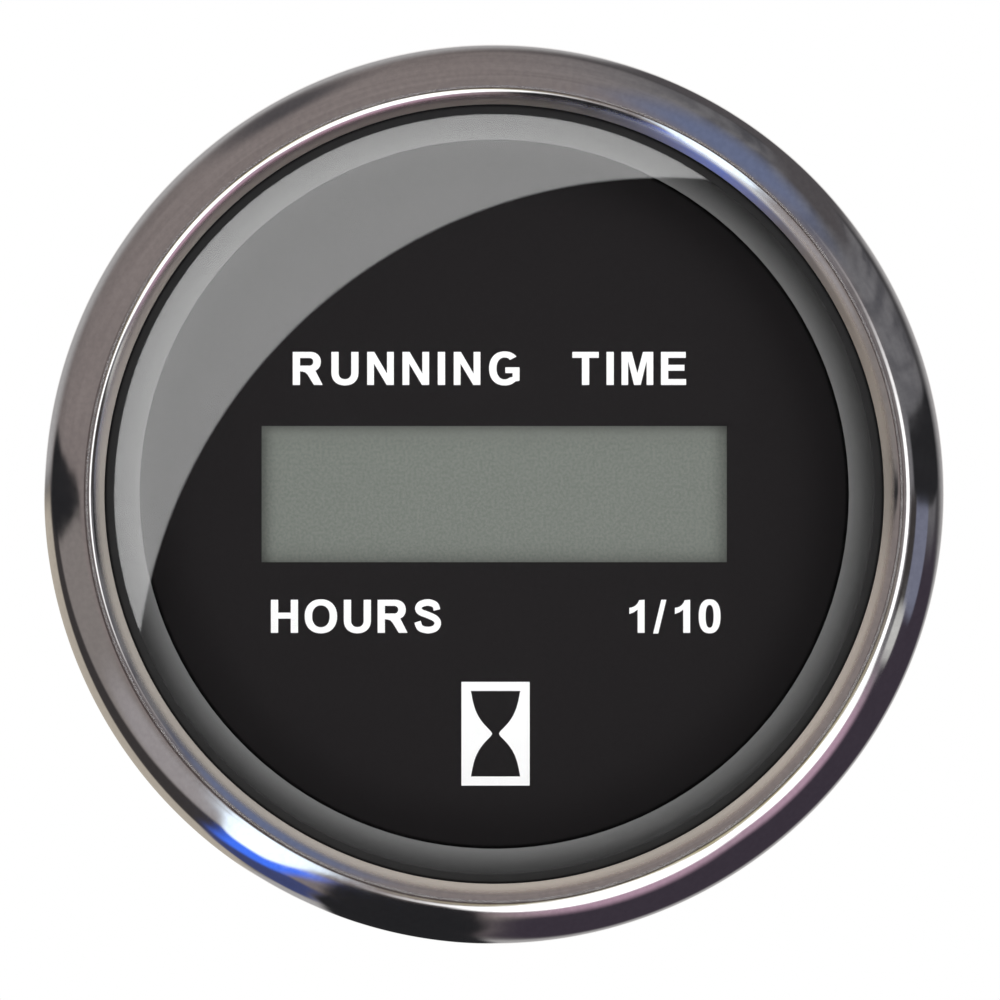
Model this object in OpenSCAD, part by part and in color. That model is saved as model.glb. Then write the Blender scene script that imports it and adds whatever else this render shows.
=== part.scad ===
// Panel hour meter: a round instrument with a chromed bezel, a flat glass and a liquid-crystal counter,
// held in its panel by a U-shaped clamp on two studs.
// It is drawn lying on its back: x to the right of the dial, y up the dial, z out of its face, with
// z = 0 on the front of the panel. stand_up() then turns the dial to face -Y, with +Z up the dial.

/* [Bezel] */
// Width by which the bezel overlaps the panel round the hole
bezel_overlap = 4.1; // [3.6:0.1:6]
// Radial width of the chromed face
bezel_face_w = 4.05; // [3.6:0.05:4.6]
// Radial width of the bezel's inner side, from its crest to the opening
bezel_inner_w = 1.15; // [1.1:0.05:1.3]
// Radius of the roll on the inner side of the crest
bezel_inner_roll = 1.25; // [1:0.05:1.4]
// Slope at which that roll runs out into a straight flank
bezel_flank = 44; // [35:1:50]
// Thickness of the bezel's sheet
bezel_sheet = 0.5; // [0.4:0.05:0.6]
// Height of the bezel's crest above the gasket
bezel_rise = 1.45; // [1.4:0.05:1.8]
// Width of the edge crimped behind the case
bezel_crimp_w = 2.2; // [1:0.1:2.6]
// Outside radius of the bend at the crimped edge
bezel_bend = 1; // [0.7:0.1:1.4]

/* [Front stack] */
// Thickness of the lens gasket
gasket_t = 0.7; // [0.5:0.1:1.2]
// Width of the gasket ring that shows inside the bezel
gasket_show = 0.6; // [0.3:0.05:1]
// Radial width of the gasket ring
gasket_w = 2; // [1.6:0.1:2.6]
// Thickness of the glass
lens_t = 2; // [1.5:0.1:3]
// Bevel on the edges of the glass
lens_bevel = 0.3; // [0.1:0.05:0.5]
// Radius of the hollow face of the trim ring
trim_cove = 1.65; // [1.2:0.05:2.2]
// Thickness of the trim ring at its inner edge
trim_edge = 0.3; // [0.2:0.05:0.6]
// Thickness of the dial plate
dial_t = 0.8; // [0.5:0.1:1.2]

/* [Counter] */
// Width of the window in the dial
window_w = 31.1; // [26:0.1:32]
// Height of the window in the dial
window_h = 9.1; // [7:0.1:10]
// Gap between the corners of the counter's frame and the barrel
frame_clear = 0.8; // [0.5:0.1:1.5]
// Height of the glass hidden above and below the window
lcd_end = 3.7; // [3:0.1:4]
// Thickness of each of the two sheets of glass
lcd_sheet = 1.4; // [1:0.1:1.6]
// Depth of the contact ledges at the top and bottom of the glass
lcd_ledge = 2.6; // [2.2:0.1:3]
// Wall of the frame that holds the glass
frame_wall = 1.9; // [1.5:0.1:2]
// Height of the contact strips
strip_h = 5.7; // [4:0.1:8]
// Width of the contact strips
strip_w = 1.8; // [1.2:0.1:2]
// Radius of the pegs that fix the frame to the board
peg_r = 0.8; // [0.6:0.05:1]

/* [Circuit board] */
// Thickness of the board
board_t = 1.6; // [1:0.1:2]
// Distance of the board screws from the barrel's wall
screw_inset = 4.5; // [4:0.1:5]
// Radius of the shank of a board screw
screw_r = 1.2; // [1:0.05:1.4]
// Length of a board screw below its head
screw_l = 9; // [7:0.5:12]
// Length of the microcontroller
controller_l = 14; // [12:0.1:15]
// Width of the microcontroller
controller_w = 7.6; // [7:0.1:8]
// Height of the microcontroller
controller_h = 2.3; // [1.5:0.1:3]
// Length of the memory chip
memory_l = 4.9; // [4:0.1:5.5]
// Width of the memory chip
memory_w = 3.9; // [3.5:0.1:4.5]
// Height of the memory chip
memory_h = 1.5; // [1:0.1:2]
// Pitch of the chips' leads
lead_pitch = 1.27; // [1:0.01:1.27]
// Reach of the chips' leads
lead_reach = 1; // [0.6:0.1:1.2]
// Length of the quartz crystal
crystal_l = 8; // [6:0.1:9]
// Width of the quartz crystal
crystal_w = 3.6; // [3:0.1:4]
// Height of the quartz crystal
crystal_h = 3.4; // [2.5:0.1:6]
// Diameter of the filter capacitor
capacitor_d = 6.3; // [5:0.1:6.5]
// Height of the filter capacitor
capacitor_h = 7.7; // [5:0.1:10]
// Length of the voltage regulator
regulator_l = 6.5; // [5:0.1:7]
// Width of the voltage regulator
regulator_w = 3.5; // [3:0.1:4]
// Height of the voltage regulator
regulator_h = 1.7; // [1.2:0.1:2]
// Length of the protection diode
diode_l = 4.4; // [3:0.1:5]
// Width of the protection diode
diode_w = 2.6; // [2:0.1:3]
// Height of the protection diode
diode_h = 2.2; // [1.5:0.1:3]
// Length of a chip resistor
resistor_l = 2; // [1:0.1:2.4]
// Width of a chip resistor
resistor_w = 1.25; // [0.5:0.05:1.6]
// Height of a chip resistor
resistor_h = 0.6; // [0.3:0.05:0.8]

/* [Case] */
// Diameter of the case barrel, which goes through the panel
barrel_d = 51.8; // [50:0.1:52.4]
// Depth of the case behind the panel's front
barrel_depth = 26; // [24:0.5:40]
// Wall of the barrel
case_wall = 1.8; // [1.4:0.1:2.2]
// Thickness of the case's back
case_back_t = 2.2; // [1.8:0.1:3]
// Thickness of the flange behind the dial
flange_t = 1.6; // [1.2:0.1:2.4]
// Wall of the rim round the dial and the glass
rim_t = 0.7; // [0.5:0.05:1]
// Bevel on the back edge of the case
case_bevel = 1.2; // [0.5:0.1:2]
// Height of the bosses under the studs
boss_h = 1; // [0.6:0.1:2]
// Radius of the bosses under the studs
boss_r = 5.2; // [5:0.1:6]

/* [Terminals] */
// Radius of the terminal studs and the clamp studs
stud_r = 2; // [1.8:0.05:2.2]
// Distance between the two terminal studs
terminal_pitch = 19; // [17:0.5:22]
// Height of the terminal studs above the barrel's lowest line
terminal_inset = 10.9; // [10:0.1:12]
// Stud left bare behind the terminal nut
terminal_free = 6; // [4:0.5:10]
// Depth of thread by which a terminal stud is held in its nuts and in the case
thread_bite = 0.25; // [0.2:0.05:0.35]
// Width of a hex nut across its flats
nut_af = 7; // [6.5:0.1:8]
// Thickness of a hex nut
nut_t = 3.2; // [2.4:0.1:4]
// Outer radius of a lock washer
washer_r = 3.8; // [3.4:0.1:4]
// Thickness of a lock washer
washer_t = 0.9; // [0.6:0.1:1.2]

/* [Clamp] */
// Gap left for the panel
panel_gap = 5; // [4.5:0.1:6]
// Distance of the clamp studs from the barrel's outside
clamp_inset = 9.9; // [8:0.1:12]
// Width of the clamp's strip
clamp_w = 14; // [10:0.5:16]
// Thickness of the clamp's strip
clamp_sheet = 1.2; // [1:0.1:1.6]
// Gap between the barrel and the clamp's legs
clamp_clear = 1.3; // [1:0.1:1.5]
// Inside radius of the clamp's bends
clamp_bend = 1.6; // [1:0.1:2.5]
// Pitch of the stud's thread
stud_pitch = 0.7; // [0.5:0.05:1]
// Turns by which the thumb nuts can be screwed in
turns_in = 6; // [4:1:7]
// Turns by which the thumb nuts can be backed off
turns_out = 4; // [2:1:6]
// Radius of a thumb nut over its knurl
thumb_r = 5.5; // [5:0.1:6.5]
// Length of a thumb nut
thumb_l = 6; // [4:0.5:9]
// Length of the plain collar of a thumb nut
thumb_collar = 1.4; // [0.8:0.1:2]
// Number of teeth on the knurl
thumb_teeth = 30; // [20:2:40]

/* [Fits] */
// Gap round the pieces stacked inside the rim
stack_gap = 0.1; // [0.05:0.05:0.2]
// Gap round the circuit board
board_gap = 0.4; // [0.2:0.05:0.6]
// Gap round a fixed pin or shank in its hole
pin_gap = 0.03; // [0.02:0.01:0.06]
// Gap round a stud in its thumb nut
thread_gap = 0.05; // [0.02:0.01:0.1]
// Gap round a stud in a washer or in the clamp
loose_gap = 0.25; // [0.15:0.05:0.4]
// Gap left at the end of the clamp's travel
stop_gap = 0.3; // [0.2:0.1:0.6]

/* [Hidden] */
$fn = 96;

// Colours of the pieces that are made of the same stuff
brass = [0.8, 0.62, 0.3];
zinc = [0.72, 0.72, 0.7];
chip_black = [0.1, 0.1, 0.11];

// Overlap used so that cuts pass clear through a face
cut = 1;

// Radii, all from the barrel that fits the panel's hole
barrel_r = barrel_d / 2;
bore_r = barrel_r - case_wall;
bezel_r = barrel_r + bezel_overlap;
opening_r = bezel_r - bezel_face_w;
crest_r = opening_r + bezel_inner_w;
outer_roll = bezel_r - crest_r;
flange_r = bezel_r - bezel_sheet - stack_gap;
rim_r = flange_r - rim_t;
stack_r = rim_r - stack_gap;
gasket_in_r = opening_r - gasket_show;
trim_top_r = gasket_in_r;
trim_in_r = trim_top_r - trim_cove;
crimp_r = bezel_r - bezel_sheet - bezel_crimp_w;

// Levels of the front stack, from the panel outwards
flange_z = bezel_sheet;
dial_z = flange_z + flange_t;
trim_z = dial_z + dial_t;
lens_z = trim_z + trim_cove + trim_edge;
gasket_z = lens_z + lens_t;
lip_z = gasket_z + gasket_t;
crest_z = lip_z + bezel_rise;
// The flank starts this far inside the roll, so that it leaves the roll at a clear corner
flank_seat = 0.004;
outer_roll_z = crest_z - outer_roll;

// Counter: the front sheet of glass is the wider one, and its ledges meet the contact strips
lcd_h = window_h + 2 * lcd_end;
lcd_back_h = lcd_h - 2 * lcd_ledge;
frame_h = lcd_h + 2 * (frame_wall + stack_gap);
frame_w = 2 * sqrt(pow(bore_r - frame_clear, 2) - pow(frame_h / 2, 2));
lcd_w = frame_w - 2 * (frame_wall + stack_gap);
lcd_front_z = dial_z;
ledge_z = lcd_front_z - lcd_sheet;
lcd_back_z = ledge_z - lcd_sheet;
board_z = ledge_z - strip_h;
board_back_z = board_z - board_t;
board_r = bore_r - board_gap;
frame_lip = 0.2;
strip_y = lcd_h / 2 - lcd_ledge / 2;
strip_inset = 1.5;
strip_l = lcd_w - 2 * strip_inset;
relief_w = strip_l - 2 * strip_inset;
relief_h = lcd_back_h - 2 * frame_wall;
peg_x = frame_w / 2 - frame_wall / 2;
peg_y = frame_h / 2 - frame_wall / 2;
peg_head = 0.6;

// Places of the components on the back of the board, from its centre
controller_at = [-1, 5];
memory_at = [-11, -5];
crystal_at = [11, -2];
capacitor_at = [-3, -7];
regulator_at = [6, -8];
diode_at = [12, 5];
resistors_at = [[-11.5, 2], [-11.5, 4.5], [-11.5, 7], [-3, 11.5], [0.5, 11.5], [4, 11.5], [9, 2], [12, 2]];
controller_leads = 10;
memory_leads = 4;
lead_w = 0.4;
lead_t = 0.2;
crystal_rim = 0.5;
capacitor_foot = 1.2;
capacitor_groove = 0.25;
regulator_lead = 0.7;
regulator_tab = 3;
diode_lead_w = 1.5;

// Levels at the back of the case
back_z = -barrel_depth;
back_in_z = back_z + case_back_t;
boss_z = back_z - boss_h;
clamp_z = boss_z - turns_in * stud_pitch - stop_gap;
clamp_back_z = clamp_z - clamp_sheet;
thumb_z = clamp_back_z - washer_t;
clamp_stud_z = thumb_z - thumb_l - turns_out * stud_pitch - cut;
fixing_nut_z = boss_z - nut_t;
terminal_washer_z = fixing_nut_z - washer_t;
terminal_nut_z = terminal_washer_z - nut_t;
terminal_stud_z = terminal_nut_z - terminal_free;

// Stud heads and contact tabs inside the case
head_r = 3.4;
head_t = 1.4;
tab_t = 0.6;
tab_r = 4;
tab_w = 3;
tab_foot = 2.4;
leg_x = barrel_r + clamp_clear;
stud_bevel = 0.5;
terminal_core_r = stud_r - thread_bite;
terminal_drop = barrel_r - terminal_inset;
clamp_x = barrel_r - clamp_inset;

// Board screws, two above the counter and one below it
screw_angles = [60, 120, 270];
screw_circle_r = bore_r - screw_inset;
screw_head_r = 2.2;
screw_head_t = 1.5;
screw_slot = 0.6;
post_wall = 1.6;
post_r = screw_r + post_wall;
post_web = 1.4;

module stand_up() {
    rotate([90, 0, 0]) children();
}

module ring(outer, inner, height) {
    difference() {
        cylinder(r = outer, h = height);
        translate([0, 0, -cut]) cylinder(r = inner, h = height + 2 * cut);
    }
}

module block(size, z) {
    translate([-size[0] / 2, -size[1] / 2, z]) cube(size);
}

module quarter(radius) {
    intersection() {
        circle(r = radius);
        square(radius);
    }
}

module on_terminals() {
    for (side = [-1, 1])
        translate([side * terminal_pitch / 2, -terminal_drop, 0]) children();
}

module on_clamp_studs() {
    for (side = [-1, 1])
        translate([side * clamp_x, 0, 0]) children();
}

module on_board_screws() {
    for (angle = screw_angles)
        rotate(angle) translate([screw_circle_r, 0, 0]) children();
}

module on_pegs() {
    for (x = [-peg_x, peg_x], y = [-peg_y, peg_y])
        translate([x, y, 0]) children();
}

// Bezel: one formed sheet, rolled over the front and crimped behind the case flange

module bezel_outer_roll(thin) {
    translate([crest_r, outer_roll_z]) quarter(outer_roll - thin);
}

// Inner side: a roll, a straight flank and an upright lip that presses on the gasket
module bezel_inner_side(thin) {
    roll = bezel_inner_roll - thin;
    roll_z = crest_z - bezel_inner_roll;
    edge_r = opening_r + thin;
    touch = [crest_r, roll_z] + (roll - flank_seat) * [-sin(bezel_flank), cos(bezel_flank)];
    edge_z = touch[1] - (touch[0] - edge_r) * tan(bezel_flank);
    intersection() {
        translate([crest_r, roll_z]) circle(r = roll);
        translate([edge_r, lip_z]) square([crest_r - edge_r, crest_z - lip_z]);
    }
    polygon([[crest_r, lip_z], [crest_r, roll_z], touch, [edge_r, edge_z], [edge_r, lip_z]]);
}

module bezel_section() {
    difference() {
        union() {
            bezel_outer_roll(0);
            bezel_inner_side(0);
            translate([crest_r, 0]) square([outer_roll, outer_roll_z]);
            translate([crimp_r, 0]) square([bezel_r - crimp_r - bezel_bend, outer_roll_z]);
        }
        bezel_outer_roll(bezel_sheet);
        bezel_inner_side(bezel_sheet);
        translate([opening_r + bezel_sheet, bezel_bend])
            square([bezel_face_w - 2 * bezel_sheet, outer_roll_z - bezel_bend]);
        translate([opening_r - cut, bezel_sheet])
            square([bezel_r - opening_r - bezel_bend + cut, bezel_bend - bezel_sheet]);
        translate([bezel_r - bezel_bend, bezel_bend]) circle(r = bezel_bend - bezel_sheet);
        translate([opening_r - cut, -cut]) square([crimp_r - opening_r + cut, bezel_sheet + 2 * cut]);
        difference() {
            translate([bezel_r - bezel_bend, -cut]) square([bezel_bend + cut, bezel_bend + cut]);
            translate([bezel_r - bezel_bend, bezel_bend]) circle(r = bezel_bend);
        }
    }
}

module bezel() {
    color("silver") rotate_extrude() bezel_section();
}

// Front stack

module lens_gasket() {
    color([0.05, 0.05, 0.05]) translate([0, 0, gasket_z])
        ring(gasket_in_r + gasket_w, gasket_in_r, gasket_t);
}

module lens() {
    color([0.85, 0.9, 0.92, 0.35]) translate([0, 0, lens_z]) {
        cylinder(r1 = stack_r - lens_bevel, r2 = stack_r, h = lens_bevel);
        translate([0, 0, lens_bevel]) cylinder(r = stack_r, h = lens_t - 2 * lens_bevel);
        translate([0, 0, lens_t - lens_bevel])
            cylinder(r1 = stack_r, r2 = stack_r - lens_bevel, h = lens_bevel);
    }
}

module trim_ring() {
    color([0.16, 0.16, 0.17]) rotate_extrude() difference() {
        translate([trim_in_r, trim_z]) square([stack_r - trim_in_r, trim_cove + trim_edge]);
        translate([trim_in_r, lens_z]) circle(r = trim_cove);
    }
}

module dial_plate() {
    color([0.08, 0.08, 0.08]) difference() {
        translate([0, 0, dial_z]) cylinder(r = stack_r, h = dial_t);
        block([window_w, window_h, dial_t + 2 * cut], dial_z - cut);
    }
}

// Counter

module lcd_panel() {
    color([0.47, 0.5, 0.47]) {
        block([lcd_w, lcd_h, lcd_sheet], ledge_z);
        block([lcd_w, lcd_back_h, lcd_sheet], lcd_back_z);
    }
}

module strip_slots(gap) {
    for (side = [-1, 1])
        translate([0, side * strip_y, 0])
            block([strip_l + 2 * gap, strip_w + 2 * gap, strip_h], board_z);
}

module lcd_frame() {
    color([0.85, 0.85, 0.82]) {
        difference() {
            block([frame_w, frame_h, dial_z - frame_lip - board_z], board_z);
            block([lcd_w + 2 * stack_gap, lcd_h + 2 * stack_gap, lcd_sheet + cut], ledge_z);
            block([lcd_w + 2 * stack_gap, lcd_back_h + 2 * stack_gap, lcd_sheet + cut], lcd_back_z);
            strip_slots(stack_gap);
            block([relief_w, relief_h, lcd_back_z - board_z - frame_wall + cut], board_z - cut);
        }
        on_pegs() translate([0, 0, board_back_z - peg_head]) cylinder(r = peg_r, h = board_t + peg_head);
    }
}

module contact_strips() {
    color([0.75, 0.45, 0.55]) strip_slots(0);
}

// Circuit board and the pieces soldered to its back

module circuit_board() {
    color([0.05, 0.3, 0.15]) difference() {
        translate([0, 0, board_back_z]) cylinder(r = board_r, h = board_t);
        translate([0, 0, board_back_z - cut]) {
            on_board_screws() cylinder(r = screw_r + pin_gap, h = board_t + 2 * cut);
            on_pegs() cylinder(r = peg_r + pin_gap, h = board_t + 2 * cut);
        }
    }
}

// A chip in its moulded case with rows of gull-wing leads along two sides
module leaded_chip(size, count) {
    block(size, -size[2]);
    for (side = [-1, 1], i = [0 : count - 1])
        translate([(i - (count - 1) / 2) * lead_pitch, side * (size[1] + lead_reach) / 2, 0]) {
            block([lead_w, lead_reach, lead_t], -lead_t);
            translate([0, side * (lead_t - lead_reach) / 2, 0])
                block([lead_w, lead_t, size[2] / 2], -size[2] / 2);
        }
}

module on_board_back(place) {
    translate([place[0], place[1], board_back_z]) children();
}

module microcontroller() {
    color(chip_black) on_board_back(controller_at)
        leaded_chip([controller_l, controller_w, controller_h], controller_leads);
}

module memory_chip() {
    color(chip_black) on_board_back(memory_at)
        leaded_chip([memory_l, memory_w, memory_h], memory_leads);
}

// A bar with round ends, standing on its flat side
module round_ended(length, width, height) {
    for (side = [-1, 1])
        translate([side * (length - width) / 2, 0, -height]) cylinder(d = width, h = height);
    block([length - width, width, height], -height);
}

module quartz_crystal() {
    color([0.75, 0.75, 0.76]) on_board_back(crystal_at) {
        round_ended(crystal_l, crystal_w, crystal_h);
        round_ended(crystal_l + 2 * crystal_rim, crystal_w + 2 * crystal_rim, crystal_rim);
    }
}

module filter_capacitor() {
    color([0.7, 0.71, 0.73]) on_board_back(capacitor_at) {
        block([capacitor_d, capacitor_d, capacitor_foot], -capacitor_foot);
        rotate_extrude() difference() {
            translate([0, -capacitor_h]) square([capacitor_d / 2, capacitor_h]);
            translate([capacitor_d / 2, -capacitor_h / 3]) circle(r = capacitor_groove);
        }
    }
}

module voltage_regulator() {
    reach = (regulator_w + lead_reach) / 2;
    color(chip_black) on_board_back(regulator_at) {
        block([regulator_l, regulator_w, regulator_h], -regulator_h);
        translate([0, reach, 0]) block([regulator_tab, lead_reach, lead_t], -lead_t);
        for (i = [-1 : 1])
            translate([i * regulator_l / 3, -reach, 0])
                block([regulator_lead, lead_reach, lead_t], -lead_t);
    }
}

module protection_diode() {
    color([0.12, 0.12, 0.13]) on_board_back(diode_at) {
        block([diode_l, diode_w, diode_h], -diode_h);
        for (side = [-1, 1])
            translate([side * (diode_l + lead_reach) / 2, 0, 0])
                block([lead_reach, diode_lead_w, lead_t], -lead_t);
    }
}

module chip_resistors() {
    color([0.15, 0.14, 0.13]) for (place = resistors_at)
        on_board_back(place) block([resistor_l, resistor_w, resistor_h], -resistor_h);
}

module board_screws() {
    color([0.7, 0.7, 0.68]) on_board_screws() {
        translate([0, 0, board_z - screw_l]) cylinder(r = screw_r, h = screw_l);
        difference() {
            translate([0, 0, board_z]) cylinder(r = screw_head_r, h = screw_head_t);
            block([2 * screw_head_r + cut, screw_slot, screw_slot + cut],
                  board_z + screw_head_t - screw_slot);
        }
    }
}

// Case

module case_section() {
    polygon([[0, back_z], [barrel_r - case_bevel, back_z], [barrel_r, back_z + case_bevel],
             [barrel_r, flange_z], [flange_r - bezel_bend, flange_z], [flange_r, flange_z + bezel_bend],
             [flange_r, outer_roll_z], [rim_r, outer_roll_z], [rim_r, dial_z], [bore_r, dial_z],
             [bore_r, back_in_z], [0, back_in_z]]);
}

module board_post() {
    post_z = back_in_z - case_back_t / 2;
    web_l = bore_r - screw_circle_r + case_wall / 2;
    translate([0, 0, post_z]) cylinder(r = post_r, h = board_back_z - post_z);
    translate([0, -post_web / 2, post_z]) cube([web_l, post_web, board_back_z - post_z - case_wall]);
}

module case() {
    color([0.07, 0.07, 0.07]) difference() {
        union() {
            rotate_extrude() case_section();
            on_board_screws() board_post();
            translate([0, 0, boss_z]) {
                on_terminals() cylinder(r = boss_r, h = boss_h + case_back_t / 2);
                on_clamp_studs() cylinder(r = boss_r, h = boss_h + case_back_t / 2);
            }
        }
        on_board_screws() translate([0, 0, board_z - screw_l - cut])
            cylinder(r = screw_r + pin_gap, h = screw_l);
        translate([0, 0, boss_z - cut]) {
            on_terminals() cylinder(r = terminal_core_r + pin_gap, h = boss_h + case_back_t + 2 * cut);
            on_clamp_studs() cylinder(r = stud_r + pin_gap, h = boss_h + case_back_t + 2 * cut);
        }
    }
}

// Terminals

// Stud with a head inside the case: free_z is where its full thread begins, behind the core
module headed_stud(head_z, free_z, end_z, core_r) {
    translate([0, 0, free_z]) cylinder(r = core_r, h = head_z - free_z);
    translate([0, 0, end_z + stud_bevel]) cylinder(r = stud_r, h = free_z - end_z - stud_bevel);
    translate([0, 0, end_z]) cylinder(r1 = stud_r - stud_bevel, r2 = stud_r, h = stud_bevel);
    translate([0, 0, head_z]) cylinder(r = head_r, h = head_t);
}

// Hex nut with its corners turned off at both ends
module hex_nut() {
    corner_r = nut_af / 2 / cos(30);
    turned = (corner_r - nut_af / 2) / 2;
    cone_h = turned + cut / 2;
    difference() {
        intersection() {
            cylinder(r = corner_r, h = nut_t, $fn = 6);
            union() {
                cylinder(r1 = nut_af / 2, r2 = corner_r + cut, h = cone_h);
                translate([0, 0, turned]) cylinder(r = corner_r + cut, h = nut_t - 2 * turned);
                translate([0, 0, nut_t - cone_h])
                    cylinder(r1 = corner_r + cut, r2 = nut_af / 2, h = cone_h);
            }
        }
        translate([0, 0, -cut]) cylinder(r = terminal_core_r + pin_gap, h = nut_t + 2 * cut);
    }
}

// Split lock washer
module lock_washer() {
    split = 0.8;
    split_turn = 40;
    difference() {
        ring(washer_r, stud_r + loose_gap, washer_t);
        rotate(split_turn) translate([0, -split / 2, -cut]) cube([washer_r + cut, split, washer_t + 2 * cut]);
    }
}

module contact_tab() {
    leg_h = board_back_z - back_in_z;
    translate([0, 0, back_in_z]) ring(tab_r, terminal_core_r + pin_gap, tab_t);
    translate([-tab_w / 2, -tab_r - tab_t, back_in_z]) cube([tab_w, tab_t, leg_h]);
    translate([-tab_w / 2, -tab_r - tab_t, back_in_z]) cube([tab_w, tab_r - stud_r, tab_t]);
    translate([-tab_w / 2, -tab_r - tab_t, board_back_z - tab_t]) cube([tab_w, tab_foot, tab_t]);
}

module contact_tabs() {
    color(brass) on_terminals() contact_tab();
}

module terminal_stud(side) {
    color(brass) translate([side * terminal_pitch / 2, -terminal_drop, 0])
        headed_stud(back_in_z + tab_t, terminal_nut_z, terminal_stud_z, terminal_core_r);
}

module positive_stud() {
    terminal_stud(1);
}

module negative_stud() {
    terminal_stud(-1);
}

module fixing_nuts() {
    color(brass) on_terminals() translate([0, 0, fixing_nut_z]) hex_nut();
}

module terminal_washers() {
    color(zinc) on_terminals() translate([0, 0, terminal_washer_z]) lock_washer();
}

module terminal_nuts() {
    color(brass) on_terminals() translate([0, 0, terminal_nut_z]) hex_nut();
}

// Clamp

module clamp_studs() {
    color(zinc) on_clamp_studs() headed_stud(back_in_z, boss_z, clamp_stud_z, stud_r);
}

// Outline of the bent strip, seen along its width: x across the barrel, y along it
module clamp_outline(thick) {
    half = leg_x + thick;
    bend = clamp_bend + thick;
    floor_z = clamp_z - thick;
    translate([-half + bend, floor_z]) square([2 * (half - bend), bend]);
    translate([-half, floor_z + bend]) square([2 * half, -panel_gap - floor_z - bend]);
    for (side = [-1, 1])
        translate([side * (half - bend), floor_z + bend]) circle(r = bend);
}

module clamp_bracket() {
    color(zinc) difference() {
        rotate([90, 0, 0]) translate([0, 0, -clamp_w / 2]) linear_extrude(clamp_w) difference() {
            clamp_outline(clamp_sheet);
            clamp_outline(0);
            translate([-leg_x, -panel_gap - cut]) square([2 * leg_x, 2 * cut]);
        }
        on_clamp_studs() translate([0, 0, clamp_back_z - cut])
            cylinder(r = stud_r + loose_gap, h = clamp_sheet + 2 * cut);
    }
}

module clamp_washers() {
    color(zinc) on_clamp_studs() translate([0, 0, thumb_z]) lock_washer();
}

// Straight knurl: a toothed outline, each tooth as deep as it is wide at its root
module knurl_outline() {
    step = 360 / thumb_teeth;
    depth = thumb_r * PI / thumb_teeth / 2;
    polygon([for (i = [0 : thumb_teeth - 1], side = [0, 1])
        (thumb_r - side * depth) * [cos((i + side / 2) * step), sin((i + side / 2) * step)]]);
}

module thumb_nut(side) {
    collar_r = washer_r;
    color(brass) translate([side * clamp_x, 0, thumb_z - thumb_l]) difference() {
        union() {
            linear_extrude(thumb_l - thumb_collar) knurl_outline();
            cylinder(r = collar_r, h = thumb_l);
        }
        translate([0, 0, -cut]) cylinder(r = stud_r + thread_gap, h = thumb_l + 2 * cut);
    }
}

module left_thumb_nut() {
    thumb_nut(-1);
}

module right_thumb_nut() {
    thumb_nut(1);
}

stand_up() bezel();
stand_up() lens_gasket();
stand_up() lens();
stand_up() trim_ring();
stand_up() dial_plate();
stand_up() lcd_panel();
stand_up() lcd_frame();
stand_up() contact_strips();
stand_up() circuit_board();
stand_up() microcontroller();
stand_up() memory_chip();
stand_up() quartz_crystal();
stand_up() filter_capacitor();
stand_up() voltage_regulator();
stand_up() protection_diode();
stand_up() chip_resistors();
stand_up() board_screws();
stand_up() case();
stand_up() contact_tabs();
stand_up() positive_stud();
stand_up() negative_stud();
stand_up() fixing_nuts();
stand_up() terminal_washers();
stand_up() terminal_nuts();
stand_up() clamp_studs();
stand_up() clamp_bracket();
stand_up() clamp_washers();
stand_up() left_thumb_nut();
stand_up() right_thumb_nut();
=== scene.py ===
import math
from typing import NamedTuple

import bmesh
import bpy
from mathutils import Matrix, Vector


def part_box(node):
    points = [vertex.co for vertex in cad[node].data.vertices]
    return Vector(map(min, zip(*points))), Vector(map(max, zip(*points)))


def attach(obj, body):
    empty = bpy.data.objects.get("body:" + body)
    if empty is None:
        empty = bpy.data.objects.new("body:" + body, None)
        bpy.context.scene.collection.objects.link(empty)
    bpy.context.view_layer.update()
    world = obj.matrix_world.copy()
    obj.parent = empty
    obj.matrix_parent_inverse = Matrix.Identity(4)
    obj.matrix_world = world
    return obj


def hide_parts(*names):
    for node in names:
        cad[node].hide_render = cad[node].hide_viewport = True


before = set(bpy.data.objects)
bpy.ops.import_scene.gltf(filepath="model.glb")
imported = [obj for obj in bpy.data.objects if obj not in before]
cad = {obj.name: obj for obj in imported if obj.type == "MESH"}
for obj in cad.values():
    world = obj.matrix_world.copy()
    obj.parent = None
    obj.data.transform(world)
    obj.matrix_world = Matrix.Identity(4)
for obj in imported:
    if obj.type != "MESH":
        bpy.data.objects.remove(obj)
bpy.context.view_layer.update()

# Everything is in metres; lengths below are written in millimetres times MM.
# x is to the right of the dial, z is up the dial, and the dial looks to -Y.
MM = 0.001
TURN = 2 * math.pi
X_AXIS, Y_AXIS, Z_AXIS = range(3)

# Camera: the photograph looks straight at the dial from far away
FRAME_WIDTH = 66.67 * MM
CAMERA_DISTANCE = 1.2
CAMERA_X = 0.387 * MM
CAMERA_Z = -0.395 * MM
SENSOR_WIDTH = 36

# Section of the bezel, as in the part's source, and the steps round it
BEZEL_R = 30 * MM
BEZEL_CREST_R = 27.1 * MM
BEZEL_OPENING_R = 25.95 * MM
BEZEL_CRIMP_R = 27.3 * MM
BEZEL_SHEET = 0.5 * MM
BEZEL_BEND = 1 * MM
BEZEL_EDGE_Y = -6.1 * MM
BEZEL_INNER_ROLL = 1.25 * MM
BEZEL_FLANK = 44
BEZEL_SEGMENTS = 360

# Levels taken from the frame, and the height of the bosses on the back of the case
DIAL_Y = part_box("dial_plate")[0].y
LENS_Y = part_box("lens")[0].y
GASKET_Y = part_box("lens_gasket")[0].y
CREST_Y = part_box("bezel")[0].y
BOARD_BACK_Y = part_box("circuit_board")[1].y
BOSS_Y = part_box("case")[1].y
BOSS_HEIGHT = 1 * MM
CASE_BACK_Y = BOSS_Y - BOSS_HEIGHT

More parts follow.
